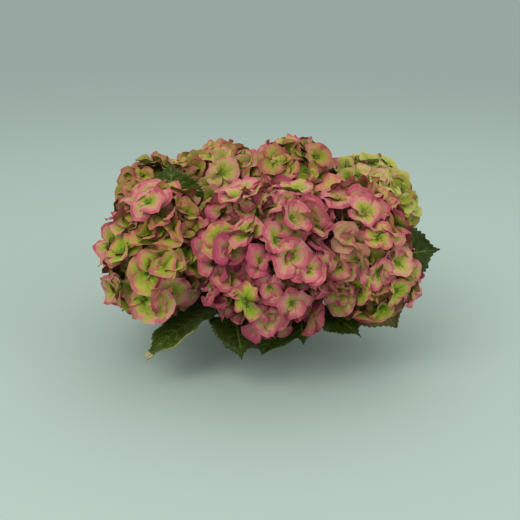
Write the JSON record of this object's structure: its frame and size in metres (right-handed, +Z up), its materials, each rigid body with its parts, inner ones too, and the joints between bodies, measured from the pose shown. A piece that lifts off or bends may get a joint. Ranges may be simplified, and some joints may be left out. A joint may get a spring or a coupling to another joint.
{
  "type": "hydrangea shrub",
  "caption": "Low rounded hydrangea shrub in full flower: large mophead blooms of cupped green and pink florets on short canes over toothed dark leaves, rooted at a woody stool.",
  "frame": {"origin": "centre of the flat cut under the woody stool, at ground level", "axes": "+Z up out of the ground, -Y towards the front that the picture shows, +X to a viewer's right"},
  "size_m": [0.4542, 0.4748, 0.2848],
  "materials": {
    "bark": "dull brown bark",
    "cane": "green-brown young wood",
    "blossom": "matt papery sepals, green at the heart and pink at the rim",
    "foliage": "dark green leaf with a slight sheen"
  },
  "bodies": {
    "root": {"bloom_back_left": "blossom", "bloom_back_right": "blossom", "bloom_front_centre": "blossom", "bloom_front_left": "blossom", "bloom_front_right": "blossom", "bloom_inner": "blossom", "bloom_mid_left": "blossom", "bloom_rear_centre": "blossom", "bloom_rear_left": "blossom", "bloom_rear_right": "blossom", "bloom_top_centre": "blossom", "cane_back_left": "cane", "cane_back_right": "cane", "cane_front_centre": "cane", "cane_front_left": "cane", "cane_front_right": "cane", "cane_inner": "cane", "cane_mid_left": "cane", "cane_rear_centre": "cane", "cane_rear_left": "cane", "cane_rear_right": "cane", "cane_top_centre": "cane", "leaves_front_left": "foliage", "leaves_front_right": "foliage", "leaves_left": "foliage", "leaves_rear": "foliage", "leaves_rear_left": "foliage", "leaves_rear_right": "foliage", "leaves_right": "foliage", "leaves_upper_left": "foliage", "leaves_upper_right": "foliage", "main_stem": "bark"}
  },
  "joints": []
}
